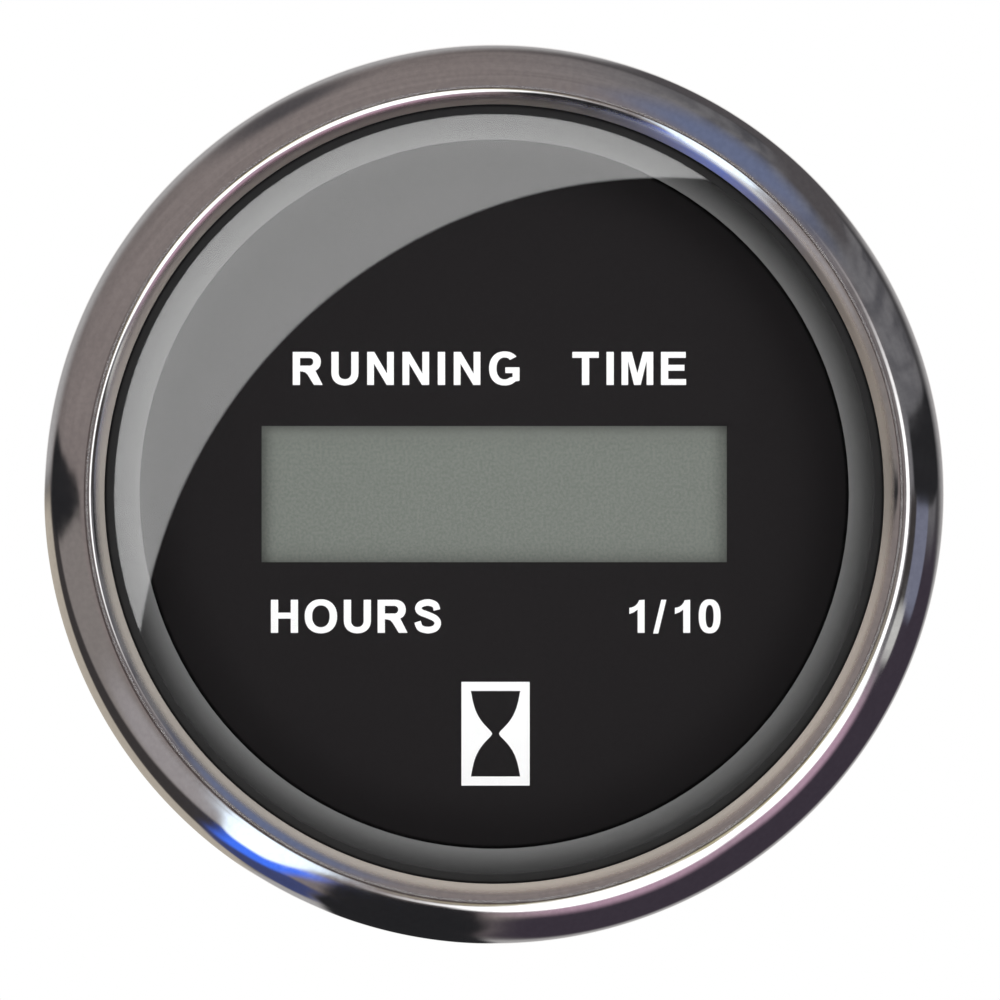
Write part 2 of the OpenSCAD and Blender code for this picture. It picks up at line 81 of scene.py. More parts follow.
# Window in the dial, and the trim ring round the dial
WINDOW_W = 31.1 * MM
WINDOW_H = 9.1 * MM
TRIM_INNER_R = 23.7 * MM
TRIM_OUTER_R = 25.35 * MM

# Most values of a noise texture lie in this span
NOISE_SPAN = (0.3, 0.7)

# Printing on the dial
INK_THICKNESS = 0.02 * MM
CAP_HEIGHT = 2.21 * MM

# Studs and their threads
STUD_R = 2 * MM
STUD_CORE_R = 1.75 * MM
STUD_PITCH = 0.7 * MM
STUD_HEAD_R = 3.4 * MM
STUD_HEAD_T = 1.4 * MM
THREAD_DEPTH = 0.38 * MM
THREAD_STEPS = 8
THREAD_SEGMENTS = 40

# Thumb nuts
THUMB_R = 5.5 * MM
THUMB_COLLAR_R = 3.8 * MM
THUMB_COLLAR = 1.4 * MM
THUMB_BORE_R = 2.05 * MM
THUMB_TEETH = 30
THUMB_TOOTH = 0.28 * MM
THUMB_TOOTH_SEGMENTS = 10
THUMB_TOOTH_ROWS = 4

# Angles in degrees above which an edge is drawn sharp, on a thread and on nuts, washers and the clamp
THREAD_SHARP = 50
METAL_SHARP = 30


def srgb(red, green, blue):
    """Linear colour of an 8-bit screen colour."""
    def linear(value):
        share = value / 255
        return share / 12.92 if share <= 0.04045 else ((share + 0.055) / 1.055) ** 2.4
    return (linear(red), linear(green), linear(blue), 1)


def grey(value):
    return (value, value, value, 1)


class Graph:
    """Short calls that build a shader's node tree."""

    def __init__(self, tree):
        self.tree = tree

    def node(self, kind, **settings):
        made = self.tree.nodes.new(kind)
        for name, value in settings.items():
            setattr(made, name, value)
        return made

    def put(self, socket, value):
        """Links a socket to the input, or sets the input to a plain value."""
        if isinstance(value, bpy.types.NodeSocket):
            self.tree.links.new(value, socket)
        else:
            socket.default_value = value

    def math(self, operation, *values):
        made = self.node("ShaderNodeMath", operation=operation)
        for socket, value in zip(made.inputs, values):
            self.put(socket, value)
        return made.outputs[0]

    def times(self, first, second):
        return self.math("MULTIPLY", first, second)

    def remap(self, value, low, high, to_low=0.0, to_high=1.0, kind="SMOOTHSTEP"):
        """Smooth change from to_low at low to to_high at high; low may be the larger one."""
        made = self.node("ShaderNodeMapRange", interpolation_type=kind)
        for socket, entry in zip(made.inputs, (value, low, high, to_low, to_high)):
            self.put(socket, entry)
        return made.outputs["Result"]

    def mix(self, share, first, second):
        made = self.node("ShaderNodeMix", data_type="RGBA")
        for place, entry in ((0, share), (6, first), (7, second)):
            self.put(made.inputs[place], entry)
        return made.outputs[2]

    def noise(self, place, scale, detail):
        made = self.node("ShaderNodeTexNoise")
        for name, entry in (("Vector", place), ("Scale", scale), ("Detail", detail)):
            self.put(made.inputs[name], entry)
        return made.outputs[0]

    def parts(self, vector):
        made = self.node("ShaderNodeSeparateXYZ")
        self.put(made.inputs[0], vector)
        return made.outputs

    def stretched(self, place, scale):
        made = self.node("ShaderNodeVectorMath", operation="MULTIPLY")
        self.put(made.inputs[0], place)
        made.inputs[1].default_value = scale
        return made.outputs[0]

    def radius(self, place):
        """Distance from the dial's axis."""
        made = self.node("ShaderNodeVectorMath", operation="LENGTH")
        self.put(made.inputs[0], self.stretched(place, (1, 0, 1)))
        return made.outputs["Value"]

    def bump(self, shader, height, distance):
        made = self.node("ShaderNodeBump")
        made.inputs["Distance"].default_value = distance
        self.put(made.inputs["Height"], height)
        self.put(shader.inputs["Normal"], made.outputs[0])


def material(name, inputs):
    """New material with a Principled shader: the material, its graph, shader and place in metres."""
    made = bpy.data.materials.new(name)
    made.use_nodes = True
    graph = Graph(made.node_tree)
    shader = made.node_tree.nodes["Principled BSDF"]
    for socket, value in inputs.items():
        shader.inputs[socket].default_value = value
    place = graph.node("ShaderNodeTexCoord").outputs["Object"]
    return made, graph, shader, place


def dress(piece, finish):
    piece.data.materials.clear()
    piece.data.materials.append(finish)


# Materials

def chrome_plate():
    """Bright plate, worn along its crest and hazier on the flank inside it, where a wheel can't polish."""
    flank_start = BEZEL_CREST_R - 0.35 * MM
    flank_full = BEZEL_CREST_R - 0.7 * MM
    bloom_start = BEZEL_CREST_R - 0.4 * MM
    bloom_full = BEZEL_CREST_R - 0.95 * MM
    crest_middle = BEZEL_CREST_R + 0.02 * MM
    crest_reach = 0.1 * MM
    flank_haze = 0.22
    crest_haze = 0.15
    flank_tone = (0.835, 0.765, 0.685, 1)
    bloom_lean = 0.27
    bloom_heights = (26 * MM, -13 * MM)
    bloom_levels = (0.03, 0.32)
    made, g, shader, place = material("chrome_plate", {})
    haze = g.noise(place, scale=700, detail=4)
    smear = g.noise(place, scale=2600, detail=3)
    x, y, z = g.parts(place)
    out = g.radius(place)

    flank = g.remap(out, flank_start, flank_full)
    tone = g.mix(g.remap(smear, *NOISE_SPAN), (0.765, 0.755, 0.76, 1), (0.82, 0.81, 0.81, 1))
    g.put(shader.inputs["Base Color"], g.mix(flank, tone, flank_tone))

    crest = g.math("ABSOLUTE", g.math("SUBTRACT", out, crest_middle))
    crest = g.remap(crest, crest_reach, crest_reach / 2)
    polish = g.remap(haze, *NOISE_SPAN, 0.055, 0.095)
    worn = g.math("MAXIMUM", g.times(flank, flank_haze), g.times(crest, crest_haze))
    g.put(shader.inputs["Roughness"], g.math("ADD", polish, worn))

    # The flank is dullest below the dial, and a little more so on its left than on its right
    upward = g.math("MULTIPLY_ADD", x, bloom_lean, z)
    bloom = g.remap(upward, *bloom_heights, *bloom_levels)
    bloom = g.times(bloom, g.remap(out, bloom_start, bloom_full))
    g.put(shader.inputs["Metallic"], g.math("SUBTRACT", 1, bloom))
    g.bump(shader, g.noise(place, scale=160, detail=2), distance=0.004 * MM)
    return made


def black_rubber():
    """Matt black, with a painted shadow line where it goes under the bezel."""
    painted_shadow_start = BEZEL_OPENING_R - 0.2 * MM
    painted_shadow_full = BEZEL_OPENING_R - 0.1 * MM
    made, g, shader, place = material("gasket_rubber", {"Roughness": 0.75})
    bloom = g.noise(place, scale=900, detail=3)
    tone = g.mix(bloom, grey(0.014), grey(0.022))
    # Painted shadow: near black next to the bezel's lip
    painted_shadow = g.remap(g.radius(place), painted_shadow_start, painted_shadow_full)
    g.put(shader.inputs["Base Color"], g.mix(painted_shadow, tone, grey(0.002)))
    g.bump(shader, g.noise(place, scale=6000, detail=2), distance=0.01 * MM)
    return made


def clear_glass():
    looks = {"Base Color": grey(1), "Roughness": 0, "IOR": 1.5, "Transmission Weight": 1}
    return material("lens_glass", looks)[0]


def satin_trim():
    """Dark moulding with painted light and shade: greyest at its foot on the dial and darkest at its rim.
    """
    shaded_rim_tone = grey(0.054)
    lit_foot_tone = grey(0.187)
    made, g, shader, place = material("trim_satin", {"Roughness": 0.5})
    # Painted light and shade: grey at the foot on the dial, fading dark towards the rim under the glass
    across = g.remap(g.radius(place), TRIM_OUTER_R, TRIM_INNER_R, kind="LINEAR")
    tone = g.mix(g.math("POWER", across, 2), shaded_rim_tone, lit_foot_tone)
    grain = g.noise(place, scale=2500, detail=3)
    g.put(shader.inputs["Base Color"], g.mix(g.times(grain, 0.12), tone, grey(0.02)))
    g.bump(shader, grain, distance=0.01 * MM)
    return made


def dial_paint():
    """Matt black, with painted shade making it a little darker towards the rim, and a painted line of
    shadow under the trim ring.
    """
    rim_shade_start = 19.5 * MM
    rim_shade_full = 23.2 * MM
    shadow_line_start = TRIM_INNER_R - 0.3 * MM
    shadow_line_full = TRIM_INNER_R - 0.14 * MM
    made, g, shader, place = material("dial_paint", {"Roughness": 0.8, "Specular IOR Level": 0.15})
    out = g.radius(place)
    grain = g.noise(place, scale=3500, detail=3)
    tone = g.mix(grain, srgb(28, 26, 27), srgb(34, 32, 33))
    # Painted shade: a little darker towards the rim
    tone = g.mix(g.remap(out, rim_shade_start, rim_shade_full), tone, srgb(25, 23, 24))
    # Painted shadow: a near-black line just inside the trim ring
    tone = g.mix(g.remap(out, shadow_line_start, shadow_line_full), tone, grey(0.001))
    g.put(shader.inputs["Base Color"], tone)
    g.bump(shader, grain, distance=0.002 * MM)
    return made


def white_ink():
    made, g, shader, place = material("white_ink", {"Roughness": 0.6, "Specular IOR Level": 0.3})
    film = g.noise(place, scale=3000, detail=3)
    g.put(shader.inputs["Base Color"], g.mix(film, grey(0.96), grey(0.99)))
    g.bump(shader, film, distance=0.003 * MM)
    return made


def counter_glass():
    """Blank grey-green counter: fine speckle, with painted shade at the window's foot and sides and painted
    light at its top.
    """
    shade_w = 1.4 * MM
    shade_most = 0.07
    light_w = 1.2 * MM
    light_most = 0.6
    made, g, shader, place = material("counter_glass", {"Roughness": 0.55, "Specular IOR Level": 0.2})
    x, y, z = g.parts(place)
    speckle = g.noise(place, scale=5200, detail=3)
    cloud = g.noise(place, scale=260, detail=2)
    tone = g.mix(g.remap(speckle, *NOISE_SPAN), srgb(112, 117, 111), srgb(124, 128, 122))
    tone = g.mix(g.times(cloud, 0.12), tone, srgb(102, 108, 102))
    side = g.math("SUBTRACT", WINDOW_W / 2, g.math("ABSOLUTE", x))
    foot = g.math("ADD", WINDOW_H / 2, z)
    # Painted shade along the window's foot and sides
    shade = g.remap(g.math("MINIMUM", side, foot), shade_w, 0, 0, shade_most)
    tone = g.mix(shade, tone, grey(0.06))
    # Painted light along the window's top, against the shadow that the recess casts there
    light = g.remap(z, WINDOW_H / 2 - light_w, WINDOW_H / 2, 0, light_most)
    g.put(shader.inputs["Base Color"], g.mix(light, tone, srgb(144, 148, 142)))
    return made


def case_plastic():
    made, g, shader, place = material("case_plastic", {"Roughness": 0.5})
    cloud = g.noise(place, scale=120, detail=3)
    g.put(shader.inputs["Base Color"], g.mix(cloud, grey(0.02), grey(0.031)))
    g.put(shader.inputs["Roughness"], g.remap(cloud, *NOISE_SPAN, 0.44, 0.58))
    g.bump(shader, g.noise(place, scale=2600, detail=2), distance=0.02 * MM)
    return made


def plated_steel():
    """Clear zinc plate: soft sheen with faint blue and straw patches."""
    made, g, shader, place = material("zinc_plate", {"Metallic": 0.75})
    patch = g.noise(place, scale=240, detail=4)
    spangle = g.noise(place, scale=2400, detail=3)
    tone = g.mix(g.remap(patch, 0.35, 0.65), (0.74, 0.75, 0.77, 1), (0.79, 0.78, 0.755, 1))
    g.put(shader.inputs["Base Color"], g.mix(g.times(spangle, 0.3), tone, grey(0.58)))
    g.put(shader.inputs["Roughness"], g.remap(spangle, 0.25, 0.75, 0.26, 0.42))
    g.bump(shader, spangle, distance=0.006 * MM)
    return made


def bright_brass():
    made, g, shader, place = material("bright_brass", {"Metallic": 0.86})
    tarnish = g.noise(place, scale=420, detail=4)
    fine = g.noise(place, scale=5000, detail=2)
    tone = g.mix(g.remap(tarnish, 0.4, 0.8), (0.86, 0.66, 0.33, 1), (0.72, 0.51, 0.23, 1))
    g.put(shader.inputs["Base Color"], tone)
    g.put(shader.inputs["Roughness"], g.remap(tarnish, *NOISE_SPAN, 0.2, 0.34))
    g.bump(shader, fine, distance=0.003 * MM)
    return made


def white_moulding():
    made, g, shader, place = material("frame_moulding", {"Roughness": 0.5})
    cloud = g.noise(place, scale=300, detail=3)
    g.put(shader.inputs["Base Color"], g.mix(cloud, (0.74, 0.74, 0.7, 1), (0.84, 0.84, 0.81, 1)))
    g.bump(shader, g.noise(place, scale=4000, detail=2), distance=0.006 * MM)
    return made


def layered_strip():
    """Elastomer strip with thin dark conducting layers across it."""
    layer = 0.25 * MM
    made, g, shader, place = material("contact_strip", {"Roughness": 0.7})
    x, y, z = g.parts(place)
    share = g.math("FRACT", g.math("DIVIDE", x, layer))
    dark = g.remap(g.math("ABSOLUTE", g.math("SUBTRACT", share, 0.5)), 0.2, 0.26)
    g.put(shader.inputs["Base Color"], g.mix(dark, (0.62, 0.27, 0.36, 1), grey(0.03)))
    return made


def solder_mask():
    """Green board with paler tracks that run along and across it."""
    spacing = 1.27 * MM
    made, g, shader, place = material("solder_mask", {"Roughness": 0.32})
    x, y, z = g.parts(place)
    ways = []
    for across in (z, x):
        bend = g.times(g.noise(place, scale=90, detail=0), 3 * spacing)
        share = g.math("FRACT", g.math("DIVIDE", g.math("ADD", across, bend), spacing))
        ways.append(g.remap(g.math("ABSOLUTE", g.math("SUBTRACT", share, 0.5)), 0.14, 0.11))
    region = g.remap(g.noise(place, scale=70, detail=0), 0.49, 0.51)
    tracks = g.mix(region, *ways)
    g.put(shader.inputs["Base Color"], g.mix(tracks, (0.02, 0.15, 0.06, 1), (0.05, 0.27, 0.1, 1)))
    g.bump(shader, tracks, distance=0.03 * MM)
    return made


def leaded(name, node, axis, reach):
    """Black epoxy body whose ends, within reach of the box's sides, are tinned metal."""
    edge = 0.02 * MM
    made, g, shader, place = material(name, {})
    low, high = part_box(node)
    off = g.math("ABSOLUTE", g.math("SUBTRACT", g.parts(place)[axis], (low[axis] + high[axis]) / 2))
    half = (high[axis] - low[axis]) / 2 - reach
    metal = g.remap(off, half, half + edge)
    grain = g.noise(place, scale=5000, detail=2)
    dark = g.mix(grain, grey(0.02), grey(0.03))
    g.put(shader.inputs["Base Color"], g.mix(metal, dark, grey(0.62)))
    g.put(shader.inputs["Metallic"], metal)
    g.put(shader.inputs["Roughness"], g.remap(metal, 0, 1, 0.62, 0.3))
    g.bump(shader, grain, distance=0.006 * MM)
    return made


def drawn_can(name, foot):
    """Bright drawn can on a dark plastic foot of the given height."""
    edge = 0.02 * MM
    brush_marks = (300, 9000, 300)
    foot_y = BOARD_BACK_Y + foot
    made, g, shader, place = material(name, {})
    metal = g.remap(g.parts(place)[Y_AXIS], foot_y, foot_y + edge)
    brushed = g.noise(g.stretched(place, brush_marks), scale=1, detail=3)
    tone = g.mix(brushed, (0.62, 0.62, 0.64, 1), (0.72, 0.72, 0.73, 1))
    g.put(shader.inputs["Base Color"], g.mix(metal, grey(0.02), tone))
    g.put(shader.inputs["Metallic"], metal)
    g.put(shader.inputs["Roughness"], g.remap(brushed, *NOISE_SPAN, 0.24, 0.4))
    return made


def ceramic_chip():
    made, g, shader, place = material("ceramic_chip", {"Roughness": 0.45})
    grain = g.noise(place, scale=4000, detail=3)
    g.put(shader.inputs["Base Color"], g.mix(grain, grey(0.02), grey(0.06)))
    return made


CHROME = chrome_plate()
INK = white_ink()
CASE = case_plastic()
STEEL = plated_steel()
BRASS = bright_brass()

LEAD_REACH = 1 * MM
DIODE_END = 0.5 * MM
CRYSTAL_FOOT = 0.3 * MM
CAPACITOR_FOOT = 1.2 * MM

finishes = {
    "bezel": CHROME,
    "lens_gasket": black_rubber(),
    "lens": clear_glass(),
    "trim_ring": satin_trim(),
    "dial_plate": dial_paint(),
    "lcd_panel": counter_glass(),
    "lcd_frame": white_moulding(),
    "contact_strips": layered_strip(),
    "circuit_board": solder_mask(),
    "microcontroller": leaded("controller_epoxy", "microcontroller", Z_AXIS, LEAD_REACH),
    "memory_chip": leaded("memory_epoxy", "memory_chip", Z_AXIS, LEAD_REACH),
    "quartz_crystal": drawn_can("crystal_can", CRYSTAL_FOOT),
    "filter_capacitor": drawn_can("capacitor_can", CAPACITOR_FOOT),
    "voltage_regulator": leaded("regulator_epoxy", "voltage_regulator", Z_AXIS, LEAD_REACH),
    "protection_diode": leaded("diode_epoxy", "protection_diode", X_AXIS, DIODE_END),
    "chip_resistors": ceramic_chip(),
    "board_screws": STEEL,
    "case": CASE,
    "contact_tabs": BRASS,
    "positive_stud": BRASS,
    "negative_stud": BRASS,
    "fixing_nuts": BRASS,
    "terminal_washers": STEEL,
    "terminal_nuts": BRASS,
    "clamp_studs": STEEL,
    "clamp_bracket": STEEL,
    "clamp_washers": STEEL,
    "left_thumb_nut": BRASS,
    "right_thumb_nut": BRASS,
}
for node, finish in finishes.items():
    dress(cad[node], finish)

# The light reaches the dial through the glass without being traced through it
lens = cad["lens"]
lens.visible_shadow = False
lens.visible_diffuse = False


# Meshes

def add_piece(name, mesh, finish, body, slot, stands_for=(), smooth_angle=35):
    mesh.shade_smooth()
    mesh.set_sharp_from_angle(angle=math.radians(smooth_angle))
    piece = bpy.data.objects.new(name, mesh)
    bpy.context.scene.collection.objects.link(piece)
    dress(piece, finish)
    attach(piece, body)
    if stands_for:
        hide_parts(*stands_for)


def outlined_mesh(name, loops, y, thickness):
    """Thin closed solid with the given outlines in x and z; it lies between y and y - thickness."""
    curve = bpy.data.curves.new(name, "CURVE")
    curve.dimensions = "2D"
    curve.fill_mode = "BOTH"
    curve.extrude = thickness / 2
    for loop in loops:
        spline = curve.splines.new("POLY")
        spline.points.add(len(loop) - 1)
        spline.use_cyclic_u = True
        for point, (x, z) in zip(spline.points, loop):
            point.co = (x, z, 0, 1)
    source = bpy.data.objects.new(name, curve)
    mesh = bpy.data.meshes.new_from_object(source)
    bpy.data.objects.remove(source)
    bpy.data.curves.remove(curve)
    upright = Matrix.Rotation(math.pi / 2, 4, "X")
    mesh.transform(Matrix.Translation((0, y - thickness / 2, 0)) @ upright)
    weld = thickness / 20
    joined = bmesh.new()
    joined.from_mesh(mesh)
    bmesh.ops.remove_doubles(joined, verts=joined.verts, dist=weld)
    bmesh.ops.recalc_face_normals(joined, faces=joined.faces)
    joined.to_mesh(mesh)
    joined.free()
    return mesh


def ringed_mesh(name, stacks, closed):
    """Solids made of rings of points, stack by stack; closed joins the last ring to the first one."""
    points = []
    faces = []
    for rings in stacks:
        start = len(points)
        size = len(rings[0])
        for circle in rings:
            points.extend(circle)
        last = len(rings) if closed else len(rings) - 1
        for row in range(last):
            here = start + row * size
            there = start + (row + 1) % len(rings) * size
            for i in range(size):
                j = (i + 1) % size
                faces.append((here + i, here + j, there + j, there + i))
        if not closed:
            faces.append(tuple(range(start + size - 1, start - 1, -1)))
            top = start + (len(rings) - 1) * size
            faces.append(tuple(range(top, top + size)))
    mesh = bpy.data.meshes.new(name)
    mesh.from_pydata(points, [], faces)
    solid = bmesh.new()
    solid.from_mesh(mesh)
    bmesh.ops.recalc_face_normals(solid, faces=solid.faces)
    solid.to_mesh(mesh)
    solid.free()
    return mesh


def ring(axis, y, segments, radius):
    """Points round an axis along Y; radius is a length or a function of the angle."""
    angles = [TURN * i / segments for i in range(segments)]
    sizes = [radius(angle) if callable(radius) else radius for angle in angles]
    return [(axis[0] + size * math.cos(angle), y, axis[1] + size * math.sin(angle))
            for angle, size in zip(angles, sizes)]


def softened_mesh(node, width):
    """The node's own mesh with its sharp edges rounded off."""
    weld = 0.0002 * MM
    flat_angle = math.radians(0.5)
    sharp_angle = math.radians(25)
    solid = bmesh.new()
    solid.from_mesh(cad[node].data)
    bmesh.ops.remove_doubles(solid, verts=solid.verts, dist=weld)
    bmesh.ops.dissolve_limit(solid, angle_limit=flat_angle, verts=solid.verts, edges=solid.edges)
    sharp = [edge for edge in solid.edges if edge.is_manifold and edge.calc_face_angle() > sharp_angle]
    bmesh.ops.bevel(solid, geom=sharp, offset=width, offset_type="OFFSET", segments=2, profile=0.5,
                    affect="EDGES", clamp_overlap=True)
    mesh = bpy.data.meshes.new(node + "_softened")
    solid.to_mesh(mesh)
    solid.free()
    if "custom_normal" in mesh.attributes:
        mesh.attributes.remove(mesh.attributes["custom_normal"])
    return mesh


# Printing on the dial: outlines in cap heights, from the left foot of each letter

STEM = 0.22
BAR = 0.18
OVERSHOOT = 0.015
MIDDLE_BAR_LOW = 0.43
MIDDLE_BAR_HIGH = 0.61


def bow(centre, radii, start, end, steps=14, fullness=2.2):
    """Points on an arc, in degrees; a fullness above 2 makes the curve squarer than an ellipse."""
    points = []
    for i in range(steps + 1):
        angle = math.radians(start + (end - start) * i / steps)
        cosine, sine = math.cos(angle), math.sin(angle)
        x = math.copysign(abs(cosine) ** (2 / fullness), cosine)
        y = math.copysign(abs(sine) ** (2 / fullness), sine)
        points.append((centre[0] + radii[0] * x, centre[1] + radii[1] * y))
    return points


def oval(width, side, top, fullness=2.2):
    centre = (width / 2, 0.5)
    radii = (width / 2, 0.5 + OVERSHOOT)
    inner = (radii[0] - side, radii[1] - top)
    return [bow(centre, radii, 0, 360, 48, fullness)[:-1], bow(centre, inner, 0, 360, 48, fullness)[:-1]]


def stroke(path, width, steps=6):
    """Outline of a stroke of even width along a smooth path through the given points."""
    last = len(path) - 1
    line = []
    for i in range(last):
        near = [Vector(path[max(0, min(k, last))]) for k in range(i - 1, i + 3)]
        before, here, there, after = near
        for step in range(steps):
            t = step / steps
            line.append(0.5 * (2 * here + (there - before) * t
                               + (2 * before - 5 * here + 4 * there - after) * t ** 2
                               + (3 * here - before - 3 * there + after) * t ** 3))
    line.append(Vector(path[-1]))
    left = []
    right = []
    for i, point in enumerate(line):
        way = (line[min(i + 1, len(line) - 1)] - line[max(i - 1, 0)]).normalized()
        side = Vector((-way.y, way.x)) * width / 2
        left.append(tuple(point + side))
        right.append(tuple(point - side))
    return left + right[::-1]


def letter_h():
    w = 0.82
    low = MIDDLE_BAR_LOW
    high = MIDDLE_BAR_HIGH
    return w, [[(0, 0), (STEM, 0), (STEM, low), (w - STEM, low), (w - STEM, 0), (w, 0), (w, 1),
                (w - STEM, 1), (w - STEM, high), (STEM, high), (STEM, 1), (0, 1)]]


def letter_o():
    return 0.98, oval(0.98, 0.225, 0.185)


def letter_u():
    w = 0.82
    foot = 0.37
    outer = bow((w / 2, foot), (w / 2, foot + OVERSHOOT), 180, 360)
    inner = bow((w / 2, foot), (w / 2 - STEM, foot + OVERSHOOT - 0.19), 360, 180)
    return w, [[(0, 1)] + outer + [(w, 1), (w - STEM, 1)] + inner + [(STEM, 1)]]


def letter_r():
    bowl = bow((0.52, 0.7), (0.33, 0.3), 90, -62)
    leg = [(0.905, 0), (0.64, 0), (0.45, 0.31), (0.38, 0.38), (0.3, 0.405), (STEM, 0.41), (STEM, 0)]
    counter = bow((0.5, 0.7), (0.12, 0.115), -90, 90) + [(STEM, 0.815), (STEM, 0.585)]
    return 0.905, [[(0, 0), (0, 1)] + bowl + leg, counter]


def letter_s():
    path = [(0.685, 0.69), (0.63, 0.845), (0.42, 0.918), (0.2, 0.865), (0.125, 0.745), (0.19, 0.63),
            (0.41, 0.54), (0.635, 0.43), (0.71, 0.29), (0.63, 0.14), (0.41, 0.083), (0.18, 0.15),
            (0.1, 0.335)]
    return 0.82, [stroke(path, 0.2)]


def letter_n():
    return 0.805, [[(0, 0), (0, 1), (0.215, 1), (0.6, 0.345), (0.6, 1), (0.805, 1), (0.805, 0), (0.59, 0),
                    (0.205, 0.645), (0.205, 0)]]


def letter_i():
    return STEM, [[(0, 0), (STEM, 0), (STEM, 1), (0, 1)]]


def letter_g():
    centre = (0.47, 0.5)
    outer = bow(centre, (0.47, 0.5 + OVERSHOOT), 42, 312, 40)
    inner = bow(centre, (0.245, 0.33), 305, 50, 36)
    spur = [(0.92, 0.13), (0.92, 0.535), (0.49, 0.535), (0.49, 0.36), (0.71, 0.36), (0.71, 0.245)]
    return 0.92, [outer + spur + inner]


def letter_t():
    w = 0.8
    left = (w - STEM) / 2
    return w, [[(0, 1), (0, 1 - BAR), (left, 1 - BAR), (left, 0), (left + STEM, 0), (left + STEM, 1 - BAR),
                (w, 1 - BAR), (w, 1)]]


def letter_m():
    return 0.96, [[(0, 0), (0, 1), (0.31, 1), (0.48, 0.36), (0.65, 1), (0.96, 1), (0.96, 0), (0.76, 0),
                   (0.76, 0.72), (0.58, 0), (0.38, 0), (0.2, 0.72), (0.2, 0)]]


def letter_e():
    w = 0.76
    middle_w = w - 0.05
    top_w = w - 0.01
    low = MIDDLE_BAR_LOW
    high = MIDDLE_BAR_HIGH
    return w, [[(0, 0), (w, 0), (w, BAR), (STEM, BAR), (STEM, low), (middle_w, low), (middle_w, high),
                (STEM, high), (STEM, 1 - BAR), (top_w, 1 - BAR), (top_w, 1), (0, 1)]]


def figure_1():
    flag = bow((0, 1.09), (0.31, 0.33), -90, -18, 6, 2)
    return 0.46, [[(0.25, 0), (0.46, 0), (0.46, 1)] + flag[::-1] + [(0, 0.57), (0.13, 0.62), (0.25, 0.7)]]


def figure_0():
    return 0.66, oval(0.66, 0.21, 0.17, 2.4)


def slash():
    return 0.4, [[(0, -0.02), (0.155, -0.02), (0.4, 1), (0.245, 1)]]


LETTERS = {"H": letter_h, "O": letter_o, "U": letter_u, "R": letter_r, "S": letter_s, "N": letter_n,
           "I": letter_i, "G": letter_g, "T": letter_t, "M": letter_m, "E": letter_e, "1": figure_1,
           "0": figure_0, "/": slash}


def print_word(name, word, left, right, foot):
    """Prints a word between left and right, its letters evenly spaced, with its foot line at foot."""
    letters = [LETTERS[sign]() for sign in word]
    gap = ((right - left) / CAP_HEIGHT - sum(width for width, loops in letters)) / (len(letters) - 1)
    loops = []
    start = 0
    for width, outlines in letters:
        for outline in outlines:
            loops.append([(left + (start + x) * CAP_HEIGHT, foot + y * CAP_HEIGHT) for x, y in outline])
        start += width + gap
    mesh = outlined_mesh(name, loops, DIAL_Y, INK_THICKNESS)
    add_piece(name, mesh, INK, "meter", "dial_plate")


TITLE_FOOT = 7.29 * MM
UNITS_FOOT = -9.27 * MM
print_word("legend_running", "RUNNING", left=-13.46 * MM, right=1.69 * MM, foot=TITLE_FOOT)
print_word("legend_time", "TIME", left=5.22 * MM, right=12.82 * MM, foot=TITLE_FOOT)
print_word("legend_hours", "HOURS", left=-14.92 * MM, right=-3.53 * MM, foot=UNITS_FOOT)
print_word("legend_tenths", "1/10", left=9.03 * MM, right=15.12 * MM, foot=UNITS_FOOT)


def hourglass_sign():
    """White plate with a plain hourglass left open in it."""
    plate_w = 4.56 * MM
    plate_h = 6.93 * MM
    glass_w = 3.3 * MM
    glass_h = 5.715 * MM
    waist = 0.138
    side_curve = (2.48, -2.33, 0.84)
    middle = Vector((0.09 * MM, -16.01 * MM))
    steps = 40

    def half_width(share):
        """Half the glass's width at a share of its half height: a cubic curve with a rounded waist."""
        side = sum(factor * share ** power for power, factor in enumerate(side_curve, 1))
        return math.hypot(waist, side) * glass_w / 2

    heights = [2 * i / steps - 1 for i in range(steps + 1)]
    right = [(middle.x + half_width(abs(t)), middle.y + t * glass_h / 2) for t in heights]
    left = [(2 * middle.x - x, z) for x, z in right[::-1]]
    corners = ((-1, -1), (1, -1), (1, 1), (-1, 1))
    plate = [(middle.x + sx * plate_w / 2, middle.y + sz * plate_h / 2) for sx, sz in corners]
    mesh = outlined_mesh("hourglass_sign", [plate, right + left], DIAL_Y, INK_THICKNESS)
    add_piece("hourglass_sign", mesh, INK, "meter", "dial_plate")


hourglass_sign()


# Bezel: the same section as the solid's, turned finely enough for clean reflections

def arc(centre, radius, start, end, steps):
    """Points on a round arc, in degrees."""
    return bow(centre, (radius, radius), start, end, steps, fullness=2)


def bezel_face(thin):
    """Radii and levels along the bezel's outside, or along its inside when thin is the sheet."""
    bend = BEZEL_BEND - thin
    outer = BEZEL_R - BEZEL_CREST_R - thin
    inner = BEZEL_INNER_ROLL - thin
    edge_r = BEZEL_OPENING_R + thin
    inner_centre = (BEZEL_CREST_R, CREST_Y + BEZEL_INNER_ROLL)
    face = [(BEZEL_CRIMP_R, -thin)]
    face += arc((BEZEL_R - BEZEL_BEND, -BEZEL_BEND), bend, 90, 0, steps=8)
    face += arc((BEZEL_CREST_R, BEZEL_EDGE_Y), outer, 0, -90, steps=40)
    face += arc(inner_centre, inner, -90, -90 - BEZEL_FLANK, steps=20)[1:]
    touch_r, touch_y = face[-1]
    face.append((edge_r, touch_y + (touch_r - edge_r) * math.tan(math.radians(BEZEL_FLANK))))
    face.append((edge_r, GASKET_Y))
    return face


def add_bezel():
    section = bezel_face(0) + bezel_face(BEZEL_SHEET)[::-1]
    rings = [ring((0, 0), y, BEZEL_SEGMENTS, radius) for radius, y in section]
    mesh = ringed_mesh("bezel_turned", [rings], closed=True)
    add_piece("bezel_turned", mesh, CHROME, "meter", "bezel", ["bezel"])


